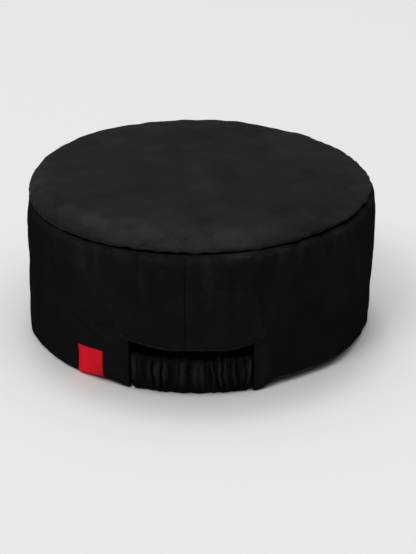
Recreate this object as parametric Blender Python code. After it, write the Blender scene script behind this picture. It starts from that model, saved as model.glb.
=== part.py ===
"""Flat-top chef's cap: a round crown on a straight side band, gathered by elastic at the back.

The cap stands on its hem with the centre of the hem ring at the origin. +Z is up, +Y is the wearer's front,
and the elastic is at the back, on the -Y side. Angles round the cap are measured from the back, towards +X.
Every cloth piece is a thin closed solid swept round the cap, and GAP is left between neighbouring layers.
"""

import math

import bmesh
import bpy

# Driving dimensions, in metres and degrees.
WALL_RADIUS = 0.098
CAP_HEIGHT = 0.0904
SEAM_HEIGHT = 0.079
SHOULDER_RADIUS = 0.012
CROWN_DOME = 0.002
SEAM_PULL_IN = 0.003
CROWN_OVERHANG = 0.002
HEM_PULL_IN = 0.0003

CLOTH = 0.0005
TAPE = 0.0004
GAP = 0.0003
SWEATBAND_THICKNESS = 0.0012
SWEATBAND_HEIGHT = 0.030
HEM_ALLOWANCE = 0.010
SEAM_ALLOWANCE = 0.008

OPENING_HALF_ANGLE = 20.0
OPENING_HEIGHT = 0.0254
OPENING_END_RISE = 0.003
OPENING_TURN_UP = 0.006
FACING_HEIGHT = 0.010
BACK_SEAM_ANGLE = -1.4
BACK_SEAM_SLIT = 0.2
BACK_SEAM_TAPE_WIDTH = 0.012

CASING_HEIGHT = 0.0203
CASING_HALF_ANGLE = 24.0
CASING_HALF_DEPTH = 0.00125
CASING_TUCK_DEPTH = 0.0051
CASING_BULGE = 0.003
ELASTIC_WIDTH = 0.018
ELASTIC_THICKNESS = 0.0012

LABEL_ANGLES = (-38.7, -28.5)
LABEL_HEIGHTS = (0.0008, 0.0180)
CARE_LABEL_WIDTH = 0.020
CARE_LABEL_LENGTH = 0.022
CARE_LABEL_HINGE_HEIGHT = 0.0255
CARE_LABEL_DISTANCE = 0.0918
CARE_TAB_HEIGHT = 0.004

THREAD_RADIUS = 0.0002
ROUND_STEPS = 48
STEP_ANGLE = 360 / ROUND_STEPS
EDGE_STEP = 0.05
WALL_BENDS = (0.048, 0.066, 0.0695, 0.073)

# Depths of the middle of each layer behind the outer face of the side band.
BAND_DEPTH = CLOTH / 2
INTERFACING_DEPTH = BAND_DEPTH + CLOTH + GAP
HEM_LEG_DEPTH = INTERFACING_DEPTH + CLOTH + GAP
LINING_DEPTH = HEM_LEG_DEPTH + CLOTH + GAP
FACING_DEPTH = LINING_DEPTH + CLOTH + GAP
SWEATBAND_DEPTH = LINING_DEPTH + CLOTH / 2 + GAP + SWEATBAND_THICKNESS / 2

# Radii of the upright layers of the crown seam, inside the cap.
BAND_FLANGE_RADIUS = WALL_RADIUS - 0.0054
CROWN_FLANGE_RADIUS = BAND_FLANGE_RADIUS - CLOTH - GAP
BINDING_CLEARANCE = CLOTH / 2 + GAP + TAPE / 2
FLANGE_FOOT = SEAM_HEIGHT - SEAM_ALLOWANCE
BAND_SEAM_LEVEL = SEAM_HEIGHT - (CLOTH + GAP) / 2
CROWN_SEAM_LEVEL = SEAM_HEIGHT + (CLOTH + GAP) / 2

LOOKS = {
    "black_twill": ((0.010, 0.010, 0.011), 0.85),
    "black_lining": ((0.018, 0.018, 0.020), 0.9),
    "interfacing": ((0.045, 0.045, 0.048), 0.95),
    "elastic": ((0.03, 0.03, 0.032), 0.8),
    "black_thread": ((0.014, 0.014, 0.016), 0.6),
    "red_label": ((0.55, 0.008, 0.018), 0.7),
    "white_label": ((0.75, 0.74, 0.72), 0.55),
}


def clear_scene():
    for obj in list(bpy.data.objects):
        bpy.data.objects.remove(obj)


def make_material(piece, look):
    colour, roughness = LOOKS[look]
    material = bpy.data.materials.new(f"{piece}_{look}")
    material.use_nodes = True
    shader = material.node_tree.nodes["Principled BSDF"]
    shader.inputs["Base Color"].default_value = (*colour, 1.0)
    shader.inputs["Roughness"].default_value = roughness
    shader.inputs["Metallic"].default_value = 0.0
    return material


def smooth_step(value):
    t = min(max(value, 0.0), 1.0)
    return t * t * (3 - 2 * t)


def around(angle, radius, height):
    """The point at this angle from the back of the cap."""
    turn = math.radians(angle)
    return (radius * math.sin(turn), -radius * math.cos(turn), height)


def wall_radius(height):
    """Outer radius of the side band: nearly straight, drawn in where it meets the crown."""
    seam_start = SEAM_HEIGHT - 0.013
    at_seam = smooth_step((height - seam_start) / (SEAM_HEIGHT - seam_start))
    at_hem = 1 - smooth_step(height / (CAP_HEIGHT / 2))
    return WALL_RADIUS - SEAM_PULL_IN * at_seam - HEM_PULL_IN * at_hem


def behind_wall(depth, height):
    return (wall_radius(height) - depth, height)


def wall_heights(low, high):
    """Heights at which an upright layer bends to follow the wall."""
    return [low, *(height for height in WALL_BENDS if low < height < high), high]


def opening_edge(angle):
    """Height of the cut-out's upper edge, which rises towards its two ends."""
    share = abs(angle) / OPENING_HALF_ANGLE
    return OPENING_HEIGHT + OPENING_END_RISE * share**4


def lower_edge(angle):
    return opening_edge(angle) if abs(angle) <= OPENING_HALF_ANGLE else 0.0


def ribbon(path, thickness):
    """The closed outline of a strip of cloth whose middle follows path, as (radius, height) pairs."""
    sides = ([], [])
    for i, (radius, height) in enumerate(path):
        before = path[max(i - 1, 0)]
        after = path[min(i + 1, len(path) - 1)]
        arrive = math.atan2(height - before[1], radius - before[0])
        leave = math.atan2(after[1] - height, after[0] - radius)
        if i == 0:
            arrive = leave
        if i == len(path) - 1:
            leave = arrive
        bend = math.remainder(leave - arrive, 2 * math.pi)
        normal = arrive + bend / 2 + math.pi / 2
        reach = thickness / 2 / math.cos(bend / 2)
        for side, sign in zip(sides, (1, -1)):
            across = radius + sign * reach * math.cos(normal) if radius > 0 else 0.0
            side.append((across, height + sign * reach * math.sin(normal)))
    return sides[0] + sides[1][::-1]


def add_solid(name, bm, look):
    bmesh.ops.remove_doubles(bm, verts=bm.verts, dist=1e-6)
    bmesh.ops.recalc_face_normals(bm, faces=bm.faces)
    mesh = bpy.data.meshes.new(name)
    bm.to_mesh(mesh)
    bm.free()
    mesh.materials.append(make_material(name, look))
    mesh.shade_smooth()
    mesh.set_sharp_from_angle(angle=math.radians(40))
    obj = bpy.data.objects.new(name, mesh)
    bpy.context.scene.collection.objects.link(obj)
    return obj


def sweep(name, section_at, angles, look):
    """Extrudes the outline from angle to angle, reshaping it to what section_at gives at each."""
    bm = bmesh.new()
    start = [bm.verts.new(around(angles[0], r, z)) for r, z in section_at(angles[0])]
    end = bm.faces.new(start)
    for angle in angles[1:]:
        end = bmesh.ops.extrude_discrete_faces(bm, faces=[end])["faces"][0]
        for vert, (radius, height) in zip(end.verts, section_at(angle)):
            vert.co = around(angle, radius, height)
    bm.faces.new(start)
    add_solid(name, bm, look)


def spin(name, outline, look):
    """Spins the outline once round the cap. An edge that lies on the axis is left out."""
    bm = bmesh.new()
    verts = [bm.verts.new(around(0, r, z)) for r, z in outline]
    pairs = zip(verts, verts[1:] + verts[:1])
    edges = [bm.edges.new(pair) for pair in pairs if any(abs(vert.co.y) > GAP for vert in pair)]
    axis = {"cent": (0, 0, 0), "axis": (0, 0, 1)}
    bmesh.ops.spin(bm, geom=verts + edges, angle=2 * math.pi, steps=ROUND_STEPS, use_merge=True, **axis)
    add_solid(name, bm, look)


def angles_between(start, end, extra=()):
    """Angles from start to end: every multiple of STEP_ANGLE between them, and the extra ones."""
    first = math.floor(start / STEP_ANGLE) + 1
    last = math.ceil(end / STEP_ANGLE)
    steps = [i * STEP_ANGLE for i in range(first, last)]
    wanted = sorted([start, end, *steps, *(a for a in extra if start < a < end)])
    return [a for i, a in enumerate(wanted) if i == 0 or a - wanted[i - 1] > EDGE_STEP / 2]


def full_turn():
    return [i * STEP_ANGLE for i in range(ROUND_STEPS)]


def opening_angles():
    """Where a piece changes height at the two upright edges of the cut-out."""
    edge = OPENING_HALF_ANGLE
    return (-edge - EDGE_STEP, -edge, -14.0, 14.0, edge, edge + EDGE_STEP)


def wrap_round(start):
    """Angles for a strip that starts and ends at the slit by the back seam, with its cut-out."""
    edges = [*opening_angles(), *(a + 360 for a in opening_angles())]
    return angles_between(start + BACK_SEAM_SLIT, start + 360 - BACK_SEAM_SLIT, edges)


def from_back(angle):
    """The same direction, as an angle between -180 and 180 degrees."""
    return math.remainder(angle, 360)


def crown_outline(inset):
    """The crown's line inset below its outer face, from just above the seam to the middle of the top."""
    centre_radius = WALL_RADIUS - SEAM_PULL_IN + CROWN_OVERHANG - SHOULDER_RADIUS
    centre_height = CAP_HEIGHT - CROWN_DOME - SHOULDER_RADIUS
    reach = SHOULDER_RADIUS - inset
    line = []
    for degrees in (20, 42, 66, 90):
        turn = math.radians(degrees)
        line.append((centre_radius + reach * math.cos(turn), centre_height + reach * math.sin(turn)))
    for share in (0.66, 0.33, 0.0):
        line.append((centre_radius * share, CAP_HEIGHT - inset - CROWN_DOME * share**2))
    return line


def crown_top(look):
    """The round top panel, with its shoulder and the allowance that turns down inside the seam."""
    allowance = [
        (CROWN_FLANGE_RADIUS, FLANGE_FOOT),
        (CROWN_FLANGE_RADIUS, CROWN_SEAM_LEVEL),
        (WALL_RADIUS - SEAM_PULL_IN - CLOTH, CROWN_SEAM_LEVEL),
    ]
    spin("crown_top", ribbon(allowance + crown_outline(CLOTH / 2), CLOTH), look)


def crown_layer(name, layers_above, look):
    """A layer under the crown that stops on the shoulder, short of the seam."""
    inset = CLOTH / 2 + layers_above * (CLOTH + GAP)
    spin(name, ribbon(crown_outline(inset)[1:], CLOTH), look)


def side_band(look):
    """One long strip: the wall, its hem turned up inside, and the allowance at the crown seam."""

    def section(angle):
        bottom = lower_edge(from_back(angle))
        turn_up = HEM_ALLOWANCE if bottom == 0 else OPENING_TURN_UP
        fold = bottom + CLOTH / 2
        path = [
            behind_wall(HEM_LEG_DEPTH, bottom + turn_up),
            behind_wall(HEM_LEG_DEPTH, fold),
            *(behind_wall(BAND_DEPTH, height) for height in wall_heights(fold, BAND_SEAM_LEVEL)),
            (BAND_FLANGE_RADIUS, BAND_SEAM_LEVEL),
            (BAND_FLANGE_RADIUS, FLANGE_FOOT),
        ]
        return ribbon(path, CLOTH)

    sweep("side_band", section, wrap_round(BACK_SEAM_ANGLE), look)


def wall_layer(name, depth, clearance, top, look):
    """A layer inside the side band, cut away round the back opening."""

    def section(angle):
        bottom = lower_edge(from_back(angle)) + clearance
        return ribbon([behind_wall(depth, height) for height in wall_heights(bottom, top)], CLOTH)

    sweep(name, section, wrap_round(BACK_SEAM_ANGLE), look)


def upright_strip(name, depth, thickness, ends, angles, look):
    """A flat strip that stands against the wall between two heights."""
    outline = ribbon([behind_wall(depth, height) for height in wall_heights(*ends)], thickness)
    sweep(name, lambda angle: outline, angles, look)


def sweatband(look):
    start = CASING_HALF_ANGLE + 0.5
    angles = angles_between(start, 360 - start)
    ends = (0.0008, SWEATBAND_HEIGHT)
    upright_strip("sweatband", SWEATBAND_DEPTH, SWEATBAND_THICKNESS, ends, angles, look)


def crown_seam_binding(look):
    """Tape folded over the two raw edges of the crown seam."""
    foot = FLANGE_FOOT - GAP - TAPE / 2
    head = SEAM_HEIGHT - 0.0012
    outer = BAND_FLANGE_RADIUS + BINDING_CLEARANCE
    inner = CROWN_FLANGE_RADIUS - BINDING_CLEARANCE
    path = [(outer, head), (outer, foot), (inner, foot), (inner, head)]
    spin("crown_seam_binding", ribbon(path, TAPE), look)


def back_seam_tape(look):
    """Tape over the inside of the join at the centre back."""
    half = math.degrees(BACK_SEAM_TAPE_WIDTH / 2 / WALL_RADIUS)
    angles = angles_between(BACK_SEAM_ANGLE - half, BACK_SEAM_ANGLE + half)
    low = OPENING_HEIGHT + FACING_HEIGHT + 0.0015
    high = FLANGE_FOOT - 0.0015
    upright_strip("back_seam_tape", FACING_DEPTH, TAPE, (low, high), angles, look)


def back_opening_facing(look):
    """Shaped strip that finishes the inside of the cut-out's upper edge."""

    def section(angle):
        edge = opening_edge(min(abs(angle), OPENING_HALF_ANGLE))
        heights = (edge + 0.0005, edge + FACING_HEIGHT)
        return ribbon([behind_wall(FACING_DEPTH, height) for height in heights], CLOTH)

    half = CASING_HALF_ANGLE
    angles = angles_between(-half, half, (-20.0, -14.0, 14.0, 20.0))
    sweep("back_opening_facing", section, angles, look)


def casing_radius(angle):
    """Middle of the elastic casing: tucked behind the wall at its ends, bulging out between them."""
    share = min(abs(angle) / (OPENING_HALF_ANGLE - 0.5), 1.0)
    return WALL_RADIUS - CASING_TUCK_DEPTH + CASING_BULGE * math.cos(share * math.pi / 2)


def casing_angles(half):
    return angles_between(-half, half, (-19.5, -17.0, -12.0, -3.75, 3.75, 12.0, 17.0, 19.5))


def elastic_casing(look):
    """Cloth folded round the elastic into a tunnel that is open at both ends."""

    def section(angle):
        middle = casing_radius(angle)
        inner = middle - CASING_HALF_DEPTH
        outer = middle + CASING_HALF_DEPTH
        foot = CLOTH / 2
        head = CASING_HEIGHT - CLOTH / 2
        path = [(inner, foot + CLOTH / 2 + GAP), (inner, head), (outer, head), (outer, foot), (inner, foot)]
        return ribbon(path, CLOTH)

    sweep("elastic_casing", section, casing_angles(CASING_HALF_ANGLE), look)


def elastic_strip(look):
    low = (CASING_HEIGHT - ELASTIC_WIDTH) / 2

    def section(angle):
        middle = casing_radius(angle)
        return ribbon([(middle, low), (middle, low + ELASTIC_WIDTH)], ELASTIC_THICKNESS)

    sweep("elastic_strip", section, casing_angles(CASING_HALF_ANGLE - 0.5), look)


def side_label(look):
    """Woven patch sewn to the outside of the band, just above the hem."""
    count = 4
    start, end = LABEL_ANGLES
    angles = [start + (end - start) * i / count for i in range(count + 1)]
    depth = -GAP - CLOTH / 2
    upright_strip("side_label", depth, CLOTH, LABEL_HEIGHTS, angles, look)


def box_between(name, low, high, look):
    bm = bmesh.new()
    bmesh.ops.create_cube(bm, size=1.0)
    for vert in bm.verts:
        for axis in range(3):
            vert.co[axis] = low[axis] if vert.co[axis] < 0 else high[axis]
    return add_solid(name, bm, look)


def care_label(look):
    """The loose flap, which turns on its sewn upper edge, and the strip above that is sewn down."""
    half = CARE_LABEL_WIDTH / 2
    hinge = bpy.data.objects.new("care_label_hinge", None)
    hinge.location = (CARE_LABEL_DISTANCE, 0, CARE_LABEL_HINGE_HEIGHT)
    bpy.context.scene.collection.objects.link(hinge)
    low = (-TAPE / 2, -half, -CARE_LABEL_LENGTH)
    flap = box_between("care_label", low, (TAPE / 2, half, 0.0), look)
    flap.parent = hinge
    foot = CARE_LABEL_HINGE_HEIGHT + 3 * GAP
    tab_low = (CARE_LABEL_DISTANCE - TAPE / 2, -half, foot)
    tab_high = (CARE_LABEL_DISTANCE + TAPE / 2, half, foot + CARE_TAB_HEIGHT)
    box_between("care_label_tab", tab_low, tab_high, look)


def thread(name, points, look, cyclic=False):
    """A row of stitching as one thin cord."""
    curve = bpy.data.curves.new(name, "CURVE")
    curve.dimensions = "3D"
    curve.bevel_depth = THREAD_RADIUS
    curve.bevel_resolution = 0
    curve.use_fill_caps = not cyclic
    spline = curve.splines.new("POLY")
    spline.points.add(len(points) - 1)
    spline.use_cyclic_u = cyclic
    for target, point in zip(spline.points, points):
        target.co = (*point, 1.0)
    curve.materials.append(make_material(name, look))
    obj = bpy.data.objects.new(name, curve)
    bpy.context.scene.collection.objects.link(obj)


def on_face(depth, angle, height):
    """A point where a thread lies on a layer whose visible face is at this depth behind the wall's face."""
    return around(angle, wall_radius(height) - depth, height)


def opening_topstitch(look):
    """The row just above the edge of the cut-out."""
    outside = -GAP - THREAD_RADIUS
    half = OPENING_HALF_ANGLE
    angles = angles_between(-half, half, (-17.0, -11.0, -3.75, 3.75, 11.0, 17.0))
    points = [on_face(outside, a, opening_edge(a) + 0.0022) for a in angles]
    thread("opening_topstitch", points, look)


def elastic_end_stitches(look):
    """Upright rows that hold the two ends of the casing behind the wall."""
    outside = -GAP - THREAD_RADIUS
    for name, side in (("left", -1), ("right", 1)):
        angle = side * (OPENING_HALF_ANGLE + 1.5)
        points = [on_face(outside, angle, height) for height in (0.0015, 0.013, 0.0265)]
        thread(f"elastic_stitch_{name}", points, look)


def ring_threads(look):
    """The rows that run right round: the crown seam, its binding and the sweatband's upper edge."""
    seam_radius = BAND_FLANGE_RADIUS + CLOTH / 2 + THREAD_RADIUS + 0.0009
    seam_height = BAND_SEAM_LEVEL - CLOTH / 2 - GAP - THREAD_RADIUS
    binding_radius = CROWN_FLANGE_RADIUS - BINDING_CLEARANCE - TAPE / 2 - GAP - THREAD_RADIUS
    rows = {
        "crown_seam_thread": (seam_radius, seam_height),
        "binding_stitch": (binding_radius, FLANGE_FOOT + 0.002),
    }
    for name, (radius, height) in rows.items():
        thread(name, [around(a, radius, height) for a in full_turn()], look, cyclic=True)
    inside = SWEATBAND_DEPTH + SWEATBAND_THICKNESS / 2 + GAP + THREAD_RADIUS
    start = CASING_HALF_ANGLE + 1.0
    angles = angles_between(start, 360 - start)
    points = [on_face(inside, a, SWEATBAND_HEIGHT - 0.002) for a in angles]
    thread("sweatband_stitch", points, look)


def back_seam_thread(look):
    """The row on the inside tape that closes the centre back."""
    depth = FACING_DEPTH + TAPE / 2 + GAP + THREAD_RADIUS
    low = OPENING_HEIGHT + FACING_HEIGHT + 0.003
    points = [on_face(depth, BACK_SEAM_ANGLE, height) for height in wall_heights(low, FLANGE_FOOT - 0.003)]
    thread("back_seam_thread", points, look)


def label_stitches(look, pale_look):
    """The row round the side label, and the short one that holds the care label."""
    margin = 0.001
    outside = -GAP - CLOTH - GAP - THREAD_RADIUS
    start, end = LABEL_ANGLES
    inset = math.degrees(margin / WALL_RADIUS)
    low, high = LABEL_HEIGHTS[0] + margin, LABEL_HEIGHTS[1] - margin
    count = 4
    across = [start + inset + (end - start - 2 * inset) * i / count for i in range(count + 1)]
    points = [on_face(outside, a, low) for a in across]
    points += [on_face(outside, a, high) for a in reversed(across)]
    thread("label_stitch", points, look, cyclic=True)
    half = CARE_LABEL_WIDTH / 2 - margin
    distance = CARE_LABEL_DISTANCE - TAPE / 2 - GAP - THREAD_RADIUS
    height = CARE_LABEL_HINGE_HEIGHT + CARE_TAB_HEIGHT * 0.8
    thread("care_label_stitch", [(distance, -half, height), (distance, half, height)], pale_look)


def main():
    clear_scene()
    crown_top("black_twill")
    crown_layer("crown_interfacing", 1, "interfacing")
    crown_layer("crown_lining", 2, "black_lining")
    side_band("black_twill")
    wall_layer("band_interfacing", INTERFACING_DEPTH, 0.001, 0.076, "interfacing")
    wall_layer("band_lining", LINING_DEPTH, 0.0015, 0.0695, "black_lining")
    sweatband("black_lining")
    crown_seam_binding("black_lining")
    back_seam_tape("black_lining")
    back_opening_facing("black_twill")
    elastic_casing("black_twill")
    elastic_strip("elastic")
    side_label("red_label")
    care_label("white_label")
    opening_topstitch("black_thread")
    elastic_end_stitches("black_thread")
    ring_threads("black_thread")
    back_seam_thread("black_thread")
    label_stitches("red_label", "white_label")


main()
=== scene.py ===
"""Flat-top chef's cap: its cloth, folds, gathers, stitches and finishes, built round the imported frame.

Shapes are worked out in millimetres and turned into metres when a mesh is made. Angles round the cap are in
degrees from the back, towards +X, and a height is a distance above the surface that the cap stands on. Left
and right are as seen from the back. The flat size of a sheet is in metres, and colours are in linear light.
"""

import math

import bmesh
import bpy
import numpy as np
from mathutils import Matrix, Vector


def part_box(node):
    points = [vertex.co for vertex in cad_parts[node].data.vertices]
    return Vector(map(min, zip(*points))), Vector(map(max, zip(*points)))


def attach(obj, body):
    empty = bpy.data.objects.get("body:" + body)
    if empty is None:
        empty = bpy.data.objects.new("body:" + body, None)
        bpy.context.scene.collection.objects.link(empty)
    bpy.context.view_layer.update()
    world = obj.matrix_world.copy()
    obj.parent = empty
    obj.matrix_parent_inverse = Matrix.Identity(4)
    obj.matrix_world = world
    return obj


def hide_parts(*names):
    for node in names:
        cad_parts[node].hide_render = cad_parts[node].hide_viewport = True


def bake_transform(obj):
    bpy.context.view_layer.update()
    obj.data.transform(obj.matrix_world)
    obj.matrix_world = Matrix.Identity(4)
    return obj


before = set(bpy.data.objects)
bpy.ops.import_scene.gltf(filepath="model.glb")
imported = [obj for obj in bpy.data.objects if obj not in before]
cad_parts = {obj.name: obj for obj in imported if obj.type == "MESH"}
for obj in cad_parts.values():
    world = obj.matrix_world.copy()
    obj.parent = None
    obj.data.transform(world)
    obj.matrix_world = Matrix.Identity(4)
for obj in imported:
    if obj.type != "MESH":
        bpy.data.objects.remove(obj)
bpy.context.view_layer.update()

MM = 0.001


def box_mm(node):
    """Low and high corners of a node of the frame."""
    return [np.array(corner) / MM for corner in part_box(node)]


# Sizes of the frame.
WALL_RADIUS = box_mm("side_band")[1][0]
SEAM_HEIGHT = box_mm("side_band")[1][2]
CAP_HEIGHT = box_mm("crown_top")[1][2]
CASING_TOP = box_mm("elastic_casing")[1][2]
SWEATBAND_TOP = box_mm("sweatband")[1][2]
FLANGE_FOOT = box_mm("crown_top")[0][2]
LABEL_TOP = box_mm("side_label")[1][2]

# Thickness of the cloths, the elastic and the ribbon.
CLOTH = 0.5
THIN_CLOTH = 0.35
FACING_CLOTH = 0.4
PATCH_CLOTH = 0.4
BRAID = 0.7
RIBBON = 0.25

# How the wall leans to one side, flares and is drawn in, and the heights over which this fades.
LEAN = 1.0
LEAN_HEIGHT = 45.0
SIDE_FLARE = 0.7
FLARE_HEIGHT = 40.0
HEM_PULL_IN = 0.3
SEAM_PULL_IN = 3.1
SEAM_ROUNDING = 13.0
SEAM_TILT = 1.5

# The centre-back seam, the cut-out under it, and the hems.
BACK_SEAM = -1.5
OPENING_HALF = 19.6
LAYER_INSET = 0.8
ANGLE_SLACK = 0.001
OPENING_EDGE = 25.4
OPENING_RISE = 3.0
OPENING_TURN_UP = 6.0
HEM_TURN_UP = 10.0
FOLD_RADIUS = 0.8

# The row of stitches along the cut-out.
TOPSTITCH_RISE = 2.0
STITCH = 1.7
STITCH_GAP = 0.6

# The red patch: the angles of its sides, and how far out of level it is sewn.
LABEL_ANGLES = (-38.7, -28.7)
LABEL_TILT = 0.4

# Depths of the middle of each layer behind the outer face, as in the frame.
SHELL_DEPTH = 0.25
INTERFACING_DEPTH = 1.05
CROWN_LINING_DEPTH = 1.85
LINING_DEPTH = 2.65
FACING_DEPTH = 3.45

# Gap under each layer of the wall, and the height of its top edge.
FELT_REACH = (1.6, 76.0)
LINING_REACH = (1.9, 69.5)

# The padded sweatband.
SWEATBAND_DEPTH = 3.8
SWEATBAND_THICKNESS = 1.2
SWEATBAND_FOOT = 0.9

# The crown: its flat middle, its shoulder, and the lip that turns in to its seam.
CROWN_DISC = 60.0
CROWN_DOME = 2.0
CROWN_TILT = 1.4
SHOULDER_RADIUS = 12.0
SHOULDER_CENTRE = 85.0
SHOULDER_SAG = 2.6
CROWN_LIP_RISE = 3.6
SEAM_GAP = 1.4

# How much paler the crown is painted all over, as painted light from above, and round its rim, as a painted
# highlight.
CROWN_PAINTED_LIGHT = 0.315
CROWN_RIM_HIGHLIGHT = 0.8
RIM_HIGHLIGHT_RADIUS = 94.0

# The allowances inside the crown seam, and the tape that binds them.
BAND_FLANGE = WALL_RADIUS - 5.4
CROWN_FLANGE = BAND_FLANGE - 0.8
BINDING_REACH = 0.75

# The gathered casing, and the angles of the creases between its folds.
CASING_HALF = 24.0
CASING_TUCK = 5.1
CASING_BULGE = 3.0
CASING_DEPTH = 1.6
CASING_FOOT = 1.0
CASING_ROLL = 0.9
CREASES = (
    -24.0, -21.4, -18.9, -13.95, -11.45, -8.8, -6.5, 0.0,
    6.2, 7.8, 10.1, 12.8, 14.6, 16.7, 19.0, 21.3, 24.0,
)
SHALLOW_CREASES = (-16.4, -12.6, -3.4, 2.9, 4.6, 11.5, 15.8)

# Soft ridges in the wall: low end and high end as (angle, height), bow, width, size.
RIDGES = (
    ((-20, 27.5), (-24.5, 36), 1, 1.3, 0.5),
    ((20, 28), (24, 35), 1, 1.3, 0.45),
    ((22.6, 29), (34.4, 74), 1.07, 4.2, 0.7),
    ((21.6, 31), (18, 60), 1.6, 3.2, 0.55),
    ((8.6, 27), (9.4, 72), 1, 5.5, 0.8),
    ((-25.5, 26), (-40, 35), 1, 6.5, 0.7),
    ((-24, 30), (-32, 56), 1.3, 6, 0.45),
)

# Swells and dents in the wall: angle, height, width in degrees, width in height, size.
SWELLS = (
    (-31.7, 71, 4, 6, 0.6),
    (-20.5, 75, 2.8, 3.6, 0.8),
    (-16.2, 73.5, 1.5, 4, -0.7),
    (-11, 74.5, 3, 4, 0.6),
    (3.5, 73, 4.5, 4.5, 0.6),
    (13, 76, 3.6, 3.2, 1.2),
    (17.2, 72.2, 1.4, 3.6, -0.8),
    (20.5, 74.5, 2.4, 3.4, 0.9),
    (31.5, 72, 3.2, 4.6, 0.5),
    (-25, 38, 1.8, 6, -0.5),
    (-90, 73, 16, 7, -1.1),
)


# ---- Shape helpers


def ease(value):
    """A smooth step, from 0 where the value is 0 or less to 1 where it is 1 or more."""
    t = np.clip(value, 0.0, 1.0)
    return t * t * (3 - 2 * t)


def hump(distance, width):
    """1 where the distance is 0, fading out smoothly on both sides."""
    return np.exp(-((distance / width) ** 2))


def around(angle, radius, height):
    """Points at these angles, radii and heights, as an array whose last axis is x, y, z."""
    turn = np.radians(angle)
    parts = np.broadcast_arrays(radius * np.sin(turn), -radius * np.cos(turn), height)
    return np.stack(parts, axis=-1)


def along_wall(turn):
    """Distance round the wall's outer face for a turn in degrees."""
    return turn * math.radians(1) * WALL_RADIUS


def angle_of(points):
    return np.degrees(np.arctan2(points[..., 0], -points[..., 1]))


def radius_of(points):
    return np.hypot(points[..., 0], points[..., 1])


def from_back(angles):
    """Angles of up to 360 as angles from -180 to 180."""
    return np.where(angles > 180, angles - 360, angles)


def ripples(points, wavelength, seed, waves=36):
    """Smooth noise of about unit size at these points, the same on each run."""
    rng = np.random.default_rng(seed)
    direction = rng.normal(size=(waves, 3))
    direction /= np.linalg.norm(direction, axis=1, keepdims=True)
    pitch = 2 * math.pi / wavelength * rng.uniform(0.7, 1.4, (waves, 1))
    phase = rng.uniform(0, 2 * math.pi, waves)
    return np.cos(points @ (direction * pitch).T + phase).sum(axis=-1) * math.sqrt(2 / waves)


def upright_ripples(angle, wavelength, seed):
    """Smooth noise that changes round the cap and not with height."""
    return ripples(around(angle, WALL_RADIUS, 0.0), wavelength, seed)


def shares(count, crowd_start=False, crowd_end=False):
    """A column of values from 0 to 1, closer together at the ends that are asked for."""
    t = np.linspace(0, 1, count)
    if crowd_start:
        t = 1 - np.cos(math.pi / 2 * t)
    if crowd_end:
        t = np.sin(math.pi / 2 * t)
    return t[:, None]


# ---- Making meshes


def link(obj):
    bpy.context.scene.collection.objects.link(obj)
    return obj


def travelled(points):
    """Distance over the cloth from the first of these points to each of the others."""
    steps = np.diff(points, axis=0, prepend=points[:1])
    return np.cumsum(np.linalg.norm(steps, axis=-1), axis=0)


def measured(points):
    """Distances over the cloth along its rows and down its columns, for the weave."""
    down = travelled(points)
    widest = travelled(points.swapaxes(0, 1))[-1].argmax()
    along = travelled(points[widest])
    return np.stack([np.broadcast_to(along, down.shape), down], axis=-1)


def weld(mesh, reach=2e-5, smallest_edge=1e-7):
    """Joins the edges where patches meet, and turns the faces one way. Both distances are in metres."""
    bm = bmesh.new()
    bm.from_mesh(mesh)
    bmesh.ops.remove_doubles(bm, verts=bm.verts, dist=reach)
    bmesh.ops.dissolve_degenerate(bm, edges=bm.edges, dist=smallest_edge)
    bmesh.ops.recalc_face_normals(bm, faces=bm.faces)
    bm.to_mesh(mesh)
    bm.free()
    mesh.shade_smooth()


def cloth(name, patches, material, thickness, measures=None, wear_and_light=None):
    """One piece of cloth from grids of points on its middle, each an array of rows, columns and x, y, z.

    Each measure gives the place of the points on the flat cloth, and the last function gives how much paler
    the points are painted, partly for wear and partly as painted light.
    """
    points, faces, places = [], [], []
    first = 0
    for patch, measure in zip(patches, measures or [measured] * len(patches)):
        rows, columns = patch.shape[:2]
        index = first + np.arange(rows * columns).reshape(rows, columns)
        corners = [index[:-1, :-1], index[:-1, 1:], index[1:, 1:], index[1:, :-1]]
        faces.append(np.stack(corners, axis=-1).reshape(-1, 4))
        points.append(patch.reshape(-1, 3))
        places.append(measure(patch).reshape(-1, 2))
        first += rows * columns
    points, faces, places = (np.concatenate(part) for part in (points, faces, places))
    mesh = bpy.data.meshes.new(name)
    mesh.from_pydata(points * MM, [], faces.tolist())
    layer = mesh.uv_layers.new(name="cloth")
    layer.data.foreach_set("uv", (places[faces.reshape(-1)] * MM).astype(np.float32).ravel())
    if wear_and_light is not None:
        values = mesh.attributes.new("wear_and_light", "FLOAT", "POINT")
        values.data.foreach_set("value", wear_and_light(points).astype(np.float32))
    weld(mesh)
    mesh.materials.append(material)
    obj = link(bpy.data.objects.new(name, mesh))
    if thickness:
        solid = obj.modifiers.new("thickness", "SOLIDIFY")
        solid.thickness = thickness * MM
        solid.offset = 0
    return obj


def stitches(name, path, outward, material, length=2.2, gap=0.7, radius=0.17):
    """A row of separate stitches along a path, each with both of its ends sunk in the cloth."""
    along = travelled(path)
    curve = bpy.data.curves.new(name, "CURVE")
    curve.dimensions = "3D"
    curve.bevel_depth = radius * MM
    curve.bevel_resolution = 2
    curve.use_fill_caps = True
    count = int(along[-1] / (length + gap))
    pitch = along[-1] / count
    share = np.linspace(0, 1, 6)
    lift = radius * (1.5 * np.sin(math.pi * share) - 0.9)
    weights = np.ones((len(share), 1))
    lines = (path, outward)
    for i in range(count):
        at = (i + 0.5) * pitch + (share - 0.5) * length
        place, out = (np.stack([np.interp(at, along, part) for part in line.T], axis=-1) for line in lines)
        places = (place + out * lift[:, None]) * MM
        spline = curve.splines.new("POLY")
        spline.points.add(len(share) - 1)
        spline.points.foreach_set("co", np.hstack([places, weights]).ravel())
    curve.materials.append(material)
    return link(bpy.data.objects.new(name, curve))


def put_on(piece, *nodes, slot=None):
    """The piece moves with the cap and stands for these nodes of the frame."""
    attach(piece, "cap")
    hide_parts(*nodes)


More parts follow.
